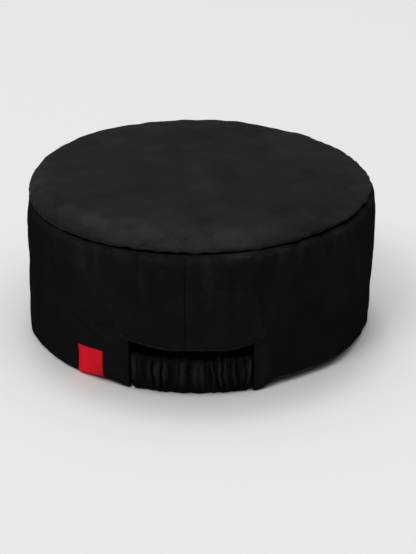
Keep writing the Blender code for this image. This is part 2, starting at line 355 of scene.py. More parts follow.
# ---- The wall


def seam_line(angle):
    """Height of the crown seam, which sits a little lower on the left."""
    return SEAM_HEIGHT + SEAM_TILT * np.sin(np.radians(angle))


def hem_line(angle):
    """Height of the hem, which comes down beside the elastic and lifts a little further round."""
    right = 4.4 * ease((angle - 20.6) / 7) * (1 - ease((angle - 54) / 46))
    at_label = 2.3 * hump(angle + 29, 6.5)
    left = 0.4 * ease((-18 - angle) / 10) * (1 - ease((-110 - angle) / 50))
    far = 0.3 * hump(np.abs(angle) - 125, 25)
    return 0.1 + (right + at_label + left + far) * (np.abs(angle) >= OPENING_HALF)


def opening_edge(angle):
    """Height of the cut-out's edge: a long flat curve that turns up at both ends."""
    share = np.clip(np.abs(angle) / OPENING_HALF, 0, 1)
    wave = 0.4 * np.cos(math.pi * (angle - 2) / 9.5)
    return OPENING_EDGE + wave * (1 - share**2) + OPENING_RISE * share**5


def lean(angle, height):
    """How far the whole wall leans out here."""
    return LEAN * np.sin(np.radians(angle)) * ease(height / LEAN_HEIGHT)


def ridge_height(angle, height, low, high, bow, width, size):
    """A soft fold with a hollow beside it, fading out at both ends."""
    share = (height - low[1]) / (high[1] - low[1])
    middle = low[0] + (high[0] - low[0]) * np.clip(share, 0, 1) ** bow
    across = along_wall(angle - middle)
    away = math.copysign(1.0, low[0])
    fade = ease(share * 6 + 0.5) * ease((1 - share) * 5 + 0.5)
    return size * fade * (hump(across, width) - 0.7 * hump(across - away * 1.5 * width, 0.8 * width))


def back_seam_relief(angle, height):
    """The groove of the centre-back seam, its pressed lips and the puckers on one side."""
    across = along_wall(angle - BACK_SEAM)
    depth = 0.6 + 0.15 * np.sin(height / 6)
    groove = -depth * hump(across, 0.55) + 0.3 * hump(across - 1.4, 0.8) + 0.1 * hump(across + 1.8, 0.9)
    puckers = 0.2 * np.sin(2 * math.pi * height / 3.7 + 1.5 * np.sin(height / 5)) * hump(across - 2.2, 1.2)
    return groove + puckers


def wall_relief(angle, height):
    """How far the cloth stands out from the plain wall."""
    points = around(angle, WALL_RADIUS, height)
    side = np.abs(np.sin(np.radians(angle)))
    relief = lean(angle, height) + SIDE_FLARE * side**3 * (1 - ease(height / FLARE_HEIGHT))
    slack = 0.5 + 0.5 * ease(np.cos(np.radians(angle)) + 0.4)
    for size, upright, wavelength, seed in ((0.42, 0.5, 44, 3), (0.24, 0.8, 18, 4), (0.04, 1, 6, 5)):
        relief = relief + size * slack * ripples(points * (1, 1, upright), wavelength, seed)
    for low, high, bow, width, size in RIDGES:
        relief = relief + ridge_height(angle, height, low, high, bow, width, size)
    for at, level, wide, tall, size in SWELLS:
        relief = relief + 1.6 * size * hump(angle - at, wide) * hump(height - level, tall)
    eased_in = upright_ripples(angle, 7, seed=6) * hump(seam_line(angle) - height, 7)
    return relief + 0.42 * slack * eased_in


def edge_relief(angle, height):
    """The rolled edge of the cut-out and its row of stitches, and the wall turned in a little beside it."""
    beside = np.abs(angle) - OPENING_HALF
    rise = height - opening_edge(angle)
    dimples = 0.4 + 0.35 * np.cos(2 * math.pi * along_wall(angle) / (STITCH + STITCH_GAP))
    roll = 0.5 * hump(rise - FOLD_RADIUS, 0.7) + 0.2 * hump(rise - 4, 1.4)
    roll = roll - dimples * hump(rise - TOPSTITCH_RISE, 0.5)
    jamb = -0.4 * hump(beside, 0.3)
    return roll * (1 - ease((beside - 0.5) / 1.5)) + jamb * ease((28 - height) / 3) * (beside >= -0.01)


def wall_radius(angle, height):
    """Outer radius of the finished wall."""
    from_start = (height - (seam_line(angle) - SEAM_ROUNDING)) / SEAM_ROUNDING
    top = SEAM_PULL_IN * (1 - np.sqrt(1 - np.clip(from_start, 0, 1) ** 2))
    bottom = HEM_PULL_IN * (1 - ease(height / LEAN_HEIGHT))
    keep = ease((seam_line(angle) - height) / 2.0)
    relief = wall_relief(angle, height) + back_seam_relief(angle, height) + edge_relief(angle, height)
    return WALL_RADIUS - top - bottom + relief * keep


def on_wall(angle, height, depth):
    """Points this far behind the wall's outer face."""
    return around(angle, wall_radius(angle, height) - depth, height)


def wall_angles():
    """Columns round the cap, closer together at the back, and closest at its seam and the cut-out."""
    parts = [np.arange(-180, 180.1, 1.0), np.arange(-46, 46.1, 0.35)]
    parts.append(BACK_SEAM + np.arange(-2.4, 2.41, 0.12))
    for side in (-1, 1):
        parts.append(side * (OPENING_HALF + np.arange(-1.0, 1.01, 0.2)))
    return np.unique(np.round(np.concatenate(parts), 3))


def fold_up(angle, bottom, turn_up):
    """The rows of a hem, from its raw edge inside, down and round to the outer face."""
    rows = [(2 * FOLD_RADIUS, level) for level in np.linspace(turn_up, FOLD_RADIUS, 5)[:-1]]
    for turn in np.linspace(math.pi, 0, 9):
        rows.append((FOLD_RADIUS * (1 - math.cos(turn)), FOLD_RADIUS * (1 - math.sin(turn))))
    points = []
    for depth, level in rows:
        face = wall_radius(angle, bottom + max(level, FOLD_RADIUS) + CLOTH / 2) - SHELL_DEPTH
        points.append(around(angle, face - depth, bottom + level + CLOTH / 2))
    return np.array(points)


def band_wear_and_light(points):
    """Where the wall is painted paler: wear at the hem, wear and a painted highlight on the rolled edge,
    painted highlights on raised folds, beside the cut-out and under the seam, painted light at the back, and
    pale streaks.
    """
    angle = angle_of(points)
    height = points[:, 2]
    below_seam = seam_line(angle) - height
    raised = radius_of(points) - WALL_RADIUS - lean(angle, height)
    # Raised folds are painted paler: a painted highlight, with some wear, strongest at the back.
    folds = 0.4 * np.clip(0.5 * raised + 0.25, 0, 1) * (below_seam > 3)
    folds = folds * (0.45 + 0.55 * hump(angle, 42))
    # The rolled edge of the cut-out and the cloth above its stitches are painted paler: wear, and a painted
    # highlight.
    rise = height - opening_edge(angle)
    on_roll = 0.8 * hump(rise - 0.6, 0.5) + 0.25 * hump(rise - TOPSTITCH_RISE - 1.0, 0.5)
    on_roll = on_roll * (np.abs(angle) < OPENING_HALF)
    # A painted highlight on the wall beside the right end of the cut-out.
    beside_opening = 0.25 * hump(angle - 22.3, 1.6) * ease((27 - height) / 6)
    at_hem = 0.2 * hump(height - hem_line(angle), 1.2) * (np.abs(angle) >= OPENING_HALF)
    # Painted highlights just under the crown seam, brightest on a pucker on the right, and painted light on
    # the middle of the back.
    at_seam = 0.34 * hump(below_seam - 2, 2)
    at_pucker = 1.3 * hump(angle - 17.5, 5.5) * hump(below_seam - 0.8, 1.0)
    at_back = 0.07 * hump(angle + 3, 32)
    # Pale upright streaks, fading out towards the hem.
    streaks = 0.22 * np.clip(ripples(points * (1, 1, 0.25), 10, seed=9), 0, 2) * hump(below_seam, 30)
    lightened = folds + on_roll + beside_opening + at_hem + at_seam + at_pucker + at_back + streaks
    patchy = 0.8 + 0.2 * ripples(points, 4, seed=8)
    return np.clip(lightened * patchy, 0, 1)


def seam_allowance(angles, radius, fold, seam):
    """Rows of cloth inside the crown seam, from the height of its fold down to its raw edge."""
    drop = seam - 1.0 - FLANGE_FOOT
    rows = [around(angles, radius + 0.3, fold)]
    rows += [around(angles, radius, FLANGE_FOOT + drop * share) for share in (1, 0.7, 0.4, 0)]
    return rows


def side_band():
    """The wall in one piece, with its turned-up hem and the allowance inside the crown seam."""
    angles = wall_angles()
    clear_of_fold = FOLD_RADIUS + CLOTH / 2
    start = opening_edge(angles) + clear_of_fold
    seam = seam_line(angles)
    near_edge = 7
    above_edge = np.arange(0, near_edge, 0.35)[:, None]
    rest = (seam - CLOTH / 2 - start - near_edge) * shares(52, crowd_end=True)
    heights = np.concatenate([start + above_edge, start + near_edge + rest])
    wall = on_wall(angles, heights, SHELL_DEPTH)
    patches = [np.concatenate([wall, seam_allowance(angles, BAND_FLANGE, seam - CLOTH / 2, seam)])]
    for side in (-1, 1):
        columns = angles[side * angles >= OPENING_HALF - ANGLE_SLACK]
        low = hem_line(columns) + clear_of_fold
        top = OPENING_EDGE + OPENING_RISE + clear_of_fold
        heights = low + (top - low) * shares(26, crowd_start=True)
        hem = fold_up(columns, hem_line(columns), HEM_TURN_UP)
        patches.append(np.concatenate([hem[:-1], on_wall(columns, heights, SHELL_DEPTH)]))
    columns = angles[np.abs(angles) <= OPENING_HALF + ANGLE_SLACK]
    patches.append(fold_up(columns, opening_edge(columns), OPENING_TURN_UP))
    piece = cloth("side_band_cloth", patches, TWILL, CLOTH, wear_and_light=band_wear_and_light)
    put_on(piece, "side_band")


def wall_layer(name, node, material, depth, clearance, top):
    """A layer behind the wall, cut away round the back opening."""
    angles = wall_angles()
    start = opening_edge(angles) + clearance
    patches = [on_wall(angles, start + (top - start) * shares(18), depth)]
    for side in (-1, 1):
        columns = angles[side * angles >= OPENING_HALF + LAYER_INSET - ANGLE_SLACK]
        low = hem_line(columns) + clearance
        high = opening_edge(columns) + clearance
        patches.append(on_wall(columns, low + (high - low) * shares(9), depth))
    piece = cloth(name, patches, material, CLOTH)
    put_on(piece, node)


def wall_strip(name, node, angles, low, high, thickness, material):
    """A narrow strip that lies on the inside of the wall."""
    heights = low + (high - low) * shares(16)
    piece = cloth(name, [on_wall(angles, heights, FACING_DEPTH)], material, thickness)
    put_on(piece, node)


def back_seam_tape():
    """The tape over the inside of the centre-back seam."""
    angles = np.linspace(BACK_SEAM - 3.5, BACK_SEAM + 3.5, 21)
    low, high = OPENING_EDGE + 11.5, FLANGE_FOOT - 1.5
    wall_strip("back_seam_tape_weave", "back_seam_tape", angles, low, high, THIN_CLOTH, TAPE_WEAVE)


def back_opening_facing():
    """The strip that faces the inside of the wall above the cut-out."""
    angles = np.linspace(-CASING_HALF, CASING_HALF, 81)
    low = opening_edge(angles) + 0.8
    high = opening_edge(angles) + 10.0
    wall_strip("back_facing_cloth", "back_opening_facing", angles, low, high, FACING_CLOTH, TWILL)


# ---- The crown


def crown_top_profile(radius):
    """Height and outward direction of the crown's outer face inside its shoulder."""
    slope = 2 * CROWN_DOME * radius / SHOULDER_CENTRE**2
    size = np.hypot(slope, 1.0)
    return CAP_HEIGHT - CROWN_DOME * (radius / SHOULDER_CENTRE) ** 2, slope / size, 1 / size


def crown_edge_profile():
    """Radius, height and outward direction from the top, over the shoulder and in to the seam."""
    rows = []
    for radius in np.linspace(CROWN_DISC, SHOULDER_CENTRE, 28)[:-1]:
        rows.append((radius, *crown_top_profile(radius)))
    centre_height = CAP_HEIGHT - CROWN_DOME - SHOULDER_RADIUS
    lowest = math.asin((SEAM_HEIGHT + CROWN_LIP_RISE - centre_height) / SHOULDER_RADIUS)
    for turn in np.linspace(math.pi / 2, lowest, 24):
        out, up = math.cos(turn), math.sin(turn)
        radius = SHOULDER_CENTRE + SHOULDER_RADIUS * out
        rows.append((radius, centre_height + SHOULDER_RADIUS * up, out, up))
    lip = WALL_RADIUS - SEAM_PULL_IN
    reach = rows[-1][0] - lip
    for turn in np.linspace(0, math.pi / 2, 8)[1:]:
        out, down = math.cos(turn), math.sin(turn)
        rise = SEAM_GAP + (CROWN_LIP_RISE - SEAM_GAP) * (1 - down)
        rows.append((lip + reach * out, SEAM_HEIGHT + rise, out, -down))
    return np.array(rows).T[..., None]


def crown_relief(angle, radius, height):
    """Soft dents across the top, and puckers where the crown is eased into its seam."""
    top = around(angle, radius, height)
    dents = 0.26 * ripples(top, 36, seed=11) + 0.1 * ripples(top, 14, seed=12)
    dents = dents + 0.02 * ripples(top, 5, seed=14)
    above = height - SEAM_HEIGHT
    edge = around(angle, WALL_RADIUS, above * 0.6)
    slack = 0.2 + 0.16 * hump(angle, 75) + 0.3 * hump(np.abs(angle) - 48, 20)
    coarse = slack * ease((radius - 76) / 14) * ripples(edge, 13, seed=13) * hump(above, 8)
    fine = 0.16 * ripples(edge, 4.5, seed=16) * hump(above - 3, 4)
    return dents * ease(above / 6) + (coarse + fine) * ease((above - SEAM_GAP) / 1.5)


def crown_points(angle, radius, height, out, up, depth):
    """Points of a layer this far under the crown's outer face, which leans and tilts a little."""
    relief = crown_relief(angle, radius, height) - depth
    low = ease((CAP_HEIGHT - CROWN_DOME - height) / 8)
    side = np.sin(np.radians(angle))
    tilt = side * (SEAM_TILT * low - CROWN_TILT * radius / WALL_RADIUS * (1 - low))
    waves = (0.08 + 0.2 * hump(angle, 50)) * upright_ripples(angle, 7, seed=18)
    drawn_down = 0.9 * hump(angle - 17, 10) + 0.5 * hump(angle + 62, 22)
    sag = SHOULDER_SAG * hump(angle - 109, 20) * ease((radius - CROWN_DISC) / 25)
    lift = tilt + (waves - drawn_down) * low - sag * (1 - low)
    leaning = side * LEAN * (1.7 * low - 0.7 * radius / WALL_RADIUS)
    bulge = (0.9 * hump(angle + 88, 24) - 1.4 * hump(angle - 114, 20)) * low
    shift = (leaning + bulge) * ease((height - SEAM_HEIGHT - SEAM_GAP) / 1.5)
    return around(angle, radius + relief * out + shift, height + relief * up + lift)


def crown_disc(depth, cells):
    """The middle of the crown as a square grid pressed into a disc, with 4 x cells points round its rim."""
    u, v = np.meshgrid(np.linspace(-1, 1, cells + 1), np.linspace(-1, 1, cells + 1))
    wide = np.abs(u) > np.abs(v)
    long_side = np.where(wide, u, v)
    ratio = np.where(wide, v, u) / np.where(long_side == 0, 1.0, long_side)
    turn = np.where(wide, ratio * 45, 90 - ratio * 45) + np.where(long_side < 0, 180, 0)
    radius = np.abs(long_side) * CROWN_DISC
    return crown_points(turn, radius, *crown_top_profile(radius), depth)


def measured_flat(points):
    """Distances over cloth that lies nearly flat."""
    return points[..., :2]


def measured_from_disc(points):
    """Distances over the crown outside its disc, so that its weave runs on straight."""
    turn = np.arctan2(points[0, :, 1], points[0, :, 0])
    out = radius_of(points[0]) + measured(points)[..., 1]
    return np.stack([out * np.cos(turn), out * np.sin(turn)], axis=-1)


CROWN_MEASURES = (measured_flat, measured_from_disc)


def crown_painted_light(points):
    """Painted light on the crown: paler all over, unevenly and more towards its rim, with a painted
    highlight round its shoulder, most at the back, and painted shade on its right side and just above its
    seam on both sides of the back.
    """
    radius = radius_of(points)
    angle = angle_of(points)
    above = points[:, 2] - seam_line(angle)
    coarse = ripples(points, 13, seed=17)
    fine = ripples(points, 2.2, seed=15)
    clouds = 1 + 0.18 * ripples(points, 28, seed=19) + 0.12 * coarse + 0.05 * fine
    clouds = clouds * (0.86 + 0.35 * (radius / WALL_RADIUS) ** 2)
    at_back = 0.2 + 0.8 * hump(angle + 12, 46)
    patchy = np.maximum(0.8 + 0.13 * fine + 0.45 * coarse, 0)
    # A painted highlight round the rim of the shoulder, strongest at the back.
    across = hump(radius - RIM_HIGHLIGHT_RADIUS, np.where(radius < RIM_HIGHLIGHT_RADIUS, 10.0, 3.2))
    shoulder = CROWN_RIM_HIGHLIGHT * across * (points[:, 2] > SEAM_HEIGHT + 2) * at_back
    # Painted shade on the right side of the crown.
    right_side_shade = hump(angle - 72, 34) * ease((radius - 62) / 26) * np.clip(0.7 + 0.7 * coarse, 0, 1)
    # Painted shade just above the seam, on both sides of the back.
    shade_above_seam = hump(np.abs(angle + 2) - 44, 19) * hump(above - 2, 7) * np.clip(0.65 + 0.7 * coarse, 0, 1)
    lightened = CROWN_PAINTED_LIGHT * (1 - right_side_shade) * clouds + shoulder * patchy
    return np.clip(lightened * (1 - 0.9 * shade_above_seam), 0, 1)


def crown():
    """The shell of the crown in one piece, from its middle over the shoulder and in to its raw edge."""
    cells = 150
    angles = np.linspace(-180, 180, 4 * cells + 1)
    face = crown_points(angles, *crown_edge_profile(), SHELL_DEPTH)
    seam = seam_line(angles) + SEAM_GAP + CLOTH / 2
    edge = np.concatenate([face, seam_allowance(angles, CROWN_FLANGE, seam, seam)])
    patches = [crown_disc(SHELL_DEPTH, cells), edge]
    piece = cloth("crown_cloth", patches, CROWN_TWILL, CLOTH, CROWN_MEASURES, crown_painted_light)
    put_on(piece, "crown_top")


def crown_layer(name, node, material, depth):
    """A disc of cloth under the crown that stops on its shoulder."""
    cells = 60
    rows_to_shoulder = 41
    angles = np.linspace(-180, 180, 4 * cells + 1)
    edge = crown_points(angles, *crown_edge_profile()[:, :rows_to_shoulder], depth)
    piece = cloth(name, [crown_disc(depth, cells), edge], material, CLOTH, CROWN_MEASURES)
    put_on(piece, node)


def crown_seam_binding():
    """Tape folded over the raw edges of the crown seam, puckered by its stitches."""
    angles = np.linspace(-180, 180, 361)
    outer = BAND_FLANGE + BINDING_REACH
    inner = CROWN_FLANGE - BINDING_REACH
    foot = FLANGE_FOOT - 0.5
    head = SEAM_HEIGHT - 1.2
    middle, half = (outer + inner) / 2, (outer - inner) / 2
    turns = np.linspace(0, math.pi, 9)
    rows = [(outer, level) for level in np.linspace(head, foot + half, 6)[:-1]]
    rows += [(middle + half * math.cos(t), foot + half * (1 - math.sin(t))) for t in turns]
    rows += [(inner, level) for level in np.linspace(foot + half, head, 8)[1:]]
    radius, height = np.array(rows).T[..., None]
    pucker = 0.12 * ripples(around(angles, inner, height * 0.5), 4.5, seed=31) * (radius < middle)
    points = around(angles, radius - np.abs(pucker), np.broadcast_to(height, (len(rows), len(angles))))
    piece = cloth("crown_seam_binding_tape", [points], TAPE_WEAVE, THIN_CLOTH)
    put_on(piece, "crown_seam_binding")


# ---- The elastic


def casing_end(angle):
    """Angle at which the casing has gone in behind the wall, a little sooner on the left."""
    return OPENING_HALF + np.where(angle < 0, -0.35, 0.2)


def casing_radius(angle):
    """Radius at the foot of the casing's folds: nearly even across the cut-out, then in behind the wall."""
    share = np.minimum(np.abs(angle) / casing_end(angle), 1.0)
    return WALL_RADIUS - CASING_TUCK + CASING_BULGE * (1 - share**30)


def gathers(angle, height):
    """Round upright folds with sharp creases between them, which wander a little."""
    creases = np.array(CREASES)
    points = around(angle, WALL_RADIUS, height * 0.7)
    at = angle + 0.3 * ripples(points, 15, seed=21) + 0.1 * ripples(points, 5, seed=24)
    place = np.clip(np.searchsorted(creases, at) - 1, 0, len(creases) - 2)
    left, right = creases[place], creases[place + 1]
    share = np.clip((at - left) / (right - left), 0, 1) ** (1 + 0.4 * np.sin(2.3 * place))
    fold = np.minimum(0.85 * along_wall(right - left), 3.3) * (1 - np.abs(2 * share - 1) ** 1.5)
    for crease in SHALLOW_CREASES:
        fold = fold - 1.2 * hump(at - crease, 0.45)
    fine = 0.16 * ripples(around(angle, WALL_RADIUS, height * 0.25), 2.4, seed=22)
    to_end = 1 - ease((np.abs(angle) - casing_end(angle)) / 0.6 + 1)
    return np.maximum(fold, 0) * to_end + fine


def casing_tops(angles):
    """Height of the casing's top fold, which rides up on each gather."""
    crest = gathers(angles, np.full_like(angles, CASING_TOP))
    sag = 0.8 * hump(angles, 14)
    return CASING_TOP - 1.0 - sag + 0.45 * crest + 0.35 * upright_ripples(angles, 4, seed=23)


def casing_face(angles, height):
    """Outer face of the casing: full at its middle, and drawn in where its folds close above and below."""
    strength = 0.35 + 0.65 * ease(height / 9)
    swell = 1.6 * (1 - ((height - 12) / 12) ** 2)
    return casing_radius(angles) + 0.1 + gathers(angles, height) * strength + swell


def casing_crest_highlight(points):
    """The crests of the gathers are painted pale: a painted highlight, strongest a little above mid-height
    and fading out towards the foot.
    """
    proud = radius_of(points) - casing_radius(angle_of(points))
    return np.clip(0.5 * (proud - 2.9), 0, 1) * hump(points[:, 2] - 14, 9)


def elastic_casing():
    """Cloth folded round the elastic into a tunnel, and drawn up into gathers by it."""
    angles = np.arange(-CASING_HALF, CASING_HALF + 0.01, 0.12)
    top = casing_tops(angles)
    tuck = 0.25 * np.abs(upright_ripples(angles, 3.4, seed=25))
    inner = casing_radius(angles) - CASING_DEPTH - tuck
    shoulder = top - CASING_ROLL
    tall = shoulder - CASING_FOOT
    turn = np.linspace(0, math.pi, 11)[1:-1]
    rows = []
    for share in np.linspace(0, 1, 30):
        height = CASING_FOOT + tall * share
        rows.append((casing_face(angles, height), height))
    reach = rows[-1][0] - inner
    rows += [(inner + reach * (1 + math.cos(t)) / 2, shoulder + CASING_ROLL * math.sin(t)) for t in turn]
    rows += [(inner, CASING_FOOT + tall * share) for share in np.linspace(1, 0, 8)]
    reach = rows[0][0] - inner
    rows += [(inner + reach * (1 - math.cos(t)) / 2, CASING_FOOT - 0.7 * math.sin(t)) for t in turn]
    rows.append(rows[0])
    points = np.array([around(angles, radius, height) for radius, height in rows])
    piece = cloth("elastic_casing_cloth", [points], CASING_TWILL, THIN_CLOTH, wear_and_light=casing_crest_highlight)
    put_on(piece, "elastic_casing")


def elastic_strip():
    """The braided elastic inside the casing."""
    low, high = box_mm("elastic_strip")
    angles = np.linspace(-CASING_HALF + 1, CASING_HALF - 1, 121)
    wide = high[2] - low[2] - 3
    points = around(angles, casing_radius(angles) - 0.8, low[2] + 1 + wide * shares(9))
    piece = cloth("elastic_strip_braid", [points], ELASTIC, BRAID)
    put_on(piece, "elastic_strip")


# ---- The sweatband and the labels


def sweatband():
    """A soft padded band round the head opening, from one end of the elastic to the other."""
    start = CASING_HALF + 0.5
    angles = np.arange(start, 360 - start + 0.01, 1.0)
    near_end = np.minimum(angles - start, 360 - start - angles)
    plump = ease(near_end / 2.5)
    half = SWEATBAND_THICKNESS / 2
    middle_level = (SWEATBAND_TOP + SWEATBAND_FOOT) / 2
    tall = (SWEATBAND_TOP - SWEATBAND_FOOT) / 2
    rows = []
    for turn in np.linspace(0, 2 * math.pi, 41):
        across, up = math.cos(turn), math.sin(turn)
        level = middle_level + tall * math.copysign(abs(up) ** 0.55, up)
        depth = half * math.copysign(abs(across) ** 0.4, across)
        quilted = 0.45 * (across < 0) * (1 - hump(level - SWEATBAND_TOP + 2, 1.4)) * abs(across) ** 0.5
        rows.append((level, depth, quilted))
    level, depth, quilted = np.array(rows).T[..., None]
    give = ripples(around(angles, WALL_RADIUS, level), 12, seed=41)
    face = wall_radius(from_back(angles), level) - SWEATBAND_DEPTH
    points = around(angles, face + (depth - quilted * (1 + 0.3 * give)) * plump, level)
    piece = cloth("sweatband_pad", [points], TERRY, 0.0)
    put_on(piece, "sweatband", slot="sweatband")


def side_label():
    """The woven patch, folded under at its edges and round the hem."""
    columns = np.arange(41)
    angles = np.linspace(*LABEL_ANGLES, len(columns))
    from_side = np.minimum(columns, columns[::-1]) / 20
    bottom = hem_line(angles)
    rows = []
    for turn in np.linspace(math.pi, 0, 7)[1:]:
        level = FOLD_RADIUS * (1 - math.sin(turn))
        face = wall_radius(angles, bottom + FOLD_RADIUS)
        rows.append(around(angles, face - FOLD_RADIUS * (1 - math.cos(turn)) + 0.3, bottom + level - 0.05))
    out_of_level = LABEL_TILT * np.interp(angles, LABEL_ANGLES, (-1.5, 0.5))
    tall = LABEL_TOP + out_of_level - FOLD_RADIUS - bottom
    for share in np.linspace(0, 1, 30)[1:]:
        lift = 0.34 + 0.25 * ease(from_side * 4) * ease((1 - share) * 8)
        rows.append(on_wall(angles, bottom + FOLD_RADIUS + tall * share, -lift))
    piece = cloth("side_label_patch", [np.array(rows)], RED_LABEL, PATCH_CLOTH)
    put_on(piece, "side_label", slot="red_label")


def care_label():
    """A ribbon that is sewn down at its top and hangs free below, curled a little."""
    top = box_mm("care_label_tab")[1][2]
    low, high = box_mm("care_label")
    plane = (low[0] + high[0]) / 2
    across = np.linspace(low[1], high[1], 25)
    heights = np.linspace(low[2], top, 46)[:, None]
    hanging = np.clip((high[2] - heights) / (high[2] - low[2]), 0, 1)
    curl = hanging * (0.5 + 0.25 * np.cos(across / 4.5) + 0.2 * np.sin(hanging * 5.0))
    points = np.stack(np.broadcast_arrays(plane - curl, across, heights), axis=-1)
    piece = cloth("care_label_ribbon", [points], SATIN, RIBBON)
    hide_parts("care_label", "care_label_tab")
    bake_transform(piece)


# ---- The stitching


def outward_at(angles):
    """Level directions away from the middle of the cap."""
    return around(angles, 1.0, 0.0)


def wall_stitches(name, node, angles, heights, depth, inward=False, **size):
    """A row of stitches on a layer of the wall, on its outer or its inner face."""
    path = on_wall(angles, heights, depth)
    outward = outward_at(angles) * (-1 if inward else 1)
    put_on(stitches(name, path, outward, THREAD, **size), node)


def sew_opening():
    """Stitches along the cut-out and at both ends of the elastic."""
    angles = np.linspace(-OPENING_HALF + 0.7, OPENING_HALF - 0.7, 200)
    heights = opening_edge(angles) + TOPSTITCH_RISE
    size = {"length": STITCH, "gap": STITCH_GAP, "radius": 0.15}
    wall_stitches("opening_stitches", "opening_topstitch", angles, heights, 0.0, **size)
    heights = np.linspace(1.5, 26.5, 60)
    for name, side in (("left", -1), ("right", 1)):
        angles = np.full_like(heights, side * (OPENING_HALF + 1.6))
        wall_stitches(f"elastic_end_stitches_{name}", f"elastic_stitch_{name}", angles, heights, 0.0)


def sew_rings():
    """Stitches round the crown seam, its binding and the top of the sweatband."""
    ring = np.linspace(-180, 180, 1441)
    path = around(ring, BAND_FLANGE + 1.35, seam_line(ring) - 0.9)
    put_on(stitches("crown_seam_stitches", path, outward_at(ring), THREAD), "crown_seam_thread")
    inner = CROWN_FLANGE - BINDING_REACH - 0.32
    path = around(ring, inner, np.full_like(ring, FLANGE_FOOT + 2))
    put_on(stitches("binding_stitches", path, -outward_at(ring), THREAD), "binding_stitch")
    start = CASING_HALF + 1.5
    angles = from_back(np.linspace(start, 360 - start, 1200))
    heights = np.full_like(angles, SWEATBAND_TOP - 2)
    depth = SWEATBAND_DEPTH + SWEATBAND_THICKNESS / 2
    wall_stitches("sweatband_stitches", "sweatband_stitch", angles, heights, depth, inward=True)


def sew_back_seam():
    """Stitches on the inside of the centre-back seam."""
    heights = np.linspace(OPENING_EDGE + 13, FLANGE_FOOT - 3, 80)
    angles = np.full_like(heights, BACK_SEAM)
    depth = FACING_DEPTH + 0.2
    wall_stitches("back_seam_stitches", "back_seam_thread", angles, heights, depth, inward=True)


def sew_labels():
    """Short stitches close to the edges of both labels."""
    left, right = LABEL_ANGLES[0] + 0.6, LABEL_ANGLES[1] - 0.6
    low, high = 3.4, LABEL_TOP - 1.1
    count = 30
    angles = np.concatenate([np.full(count, left), np.linspace(left, right, count), np.full(count, right)])
    up = np.linspace(low, high, count)
    heights = np.concatenate([up, np.full(count, high), up[::-1]])
    path = on_wall(angles, heights, -0.72)
    row = stitches("label_edge_stitches", path, outward_at(angles), RED_THREAD, 1.1, 0.5, 0.11)
    put_on(row, "label_stitch", slot="red_thread")
    low, high = box_mm("care_label_stitch")
    across = np.linspace(low[1], high[1], 60)
    level = (low[2] + high[2]) / 2
    plane = box_mm("care_label_tab")[0][0] - 0.02
    path = np.stack(np.broadcast_arrays(plane, across, level), axis=-1)
    inward = np.tile((-1.0, 0.0, 0.0), (len(across), 1))
    row = stitches("care_label_stitches", path, inward, WHITE_THREAD, 1.6, 0.6, 0.12)
    put_on(row, "care_label_stitch", slot="white_thread")


# ---- Materials

# Sockets of the mix node: its factor, its two colours, and the colour that it gives.
MIX_FACTOR, MIX_FIRST, MIX_SECOND, MIX_RESULT = 0, 6, 7, 2


def add_node(tree, kind, inputs=None, **settings):
    """A new node, with its settings, and with numbers or other nodes' outputs at its inputs."""
    node = tree.nodes.new(kind)
    for name, value in settings.items():
        setattr(node, name, value)
    for name, value in (inputs or {}).items():
        if hasattr(value, "is_output"):
            tree.links.new(value, node.inputs[name])
        else:
            node.inputs[name].default_value = value
    return node


class Finish:
    """A material under construction, with short ways to add to its nodes."""

    def __init__(self, name, roughness, sheen=0.0, specular=0.5):
        self.material = bpy.data.materials.new(name)
        self.material.use_nodes = True
        self.tree = self.material.node_tree
        self.shader = self.tree.nodes["Principled BSDF"]
        self.shader.inputs["Roughness"].default_value = roughness
        self.shader.inputs["Sheen Weight"].default_value = sheen
        self.shader.inputs["Specular IOR Level"].default_value = specular

    def add(self, kind, inputs=None, **settings):
        return add_node(self.tree, kind, inputs, **settings)

    def combine(self, operation, first, second):
        return self.add("ShaderNodeMath", {0: first, 1: second}, operation=operation).outputs[0]

    def solid(self):
        """The place of each point within the piece."""
        return self.add("ShaderNodeTexCoord").outputs["Object"]

    def bands(self, place, direction, pitch, wobble):
        """Ribs this many millimetres apart. The wave node fits 20 into a unit, or fewer on the slant."""
        per_unit = 20 if direction in "XY" else 10 * math.sqrt(2)
        scale = 2 * math.pi / (per_unit * pitch * MM)
        inputs = {"Vector": place, "Scale": scale, "Distortion": wobble, "Detail": 1.0, "Detail Scale": 0.6}
        return self.add("ShaderNodeTexWave", inputs, bands_direction=direction).outputs["Fac"]

    def noise(self, place, size, detail=2.0):
        """Cloudy noise whose lumps are about this many millimetres across."""
        inputs = {"Vector": place, "Scale": 1 / (size * MM), "Detail": detail}
        return self.add("ShaderNodeTexNoise", inputs).outputs["Fac"]

    def spread(self, value, low, high):
        """The middle part of a noise, drawn out to this range."""
        inputs = {"Value": value, "From Min": 0.3, "From Max": 0.7, "To Min": low, "To Max": high}
        return self.add("ShaderNodeMapRange", inputs).outputs["Result"]

    def mix(self, share, first, second):
        inputs = {MIX_FACTOR: share, MIX_FIRST: first, MIX_SECOND: second}
        return self.add("ShaderNodeMix", inputs, data_type="RGBA").outputs[MIX_RESULT]

    def bump(self, height, distance, strength, under=None):
        """A surface that rises by this many millimetres, over the one that is under it."""
        inputs = {"Height": height, "Distance": distance * MM, "Strength": strength}
        if under is not None:
            inputs["Normal"] = under
        return self.add("ShaderNodeBump", inputs).outputs["Normal"]

    def tones(self, share, colour, first, second):
        """A colour between two of its own strengths."""
        return self.mix(share, shade(colour, first), shade(colour, second))

    def finished(self, colour, roughness=None, normal=None):
        """The material, once these have been joined to its shader."""
        for name, value in (("Base Color", colour), ("Roughness", roughness), ("Normal", normal)):
            if value is not None:
                self.tree.links.new(value, self.shader.inputs[name])
        return self.material


def shade(colour, factor):
    """The colour made this many times as strong."""
    return (*(min(part * factor, 1.0) for part in colour), 1.0)


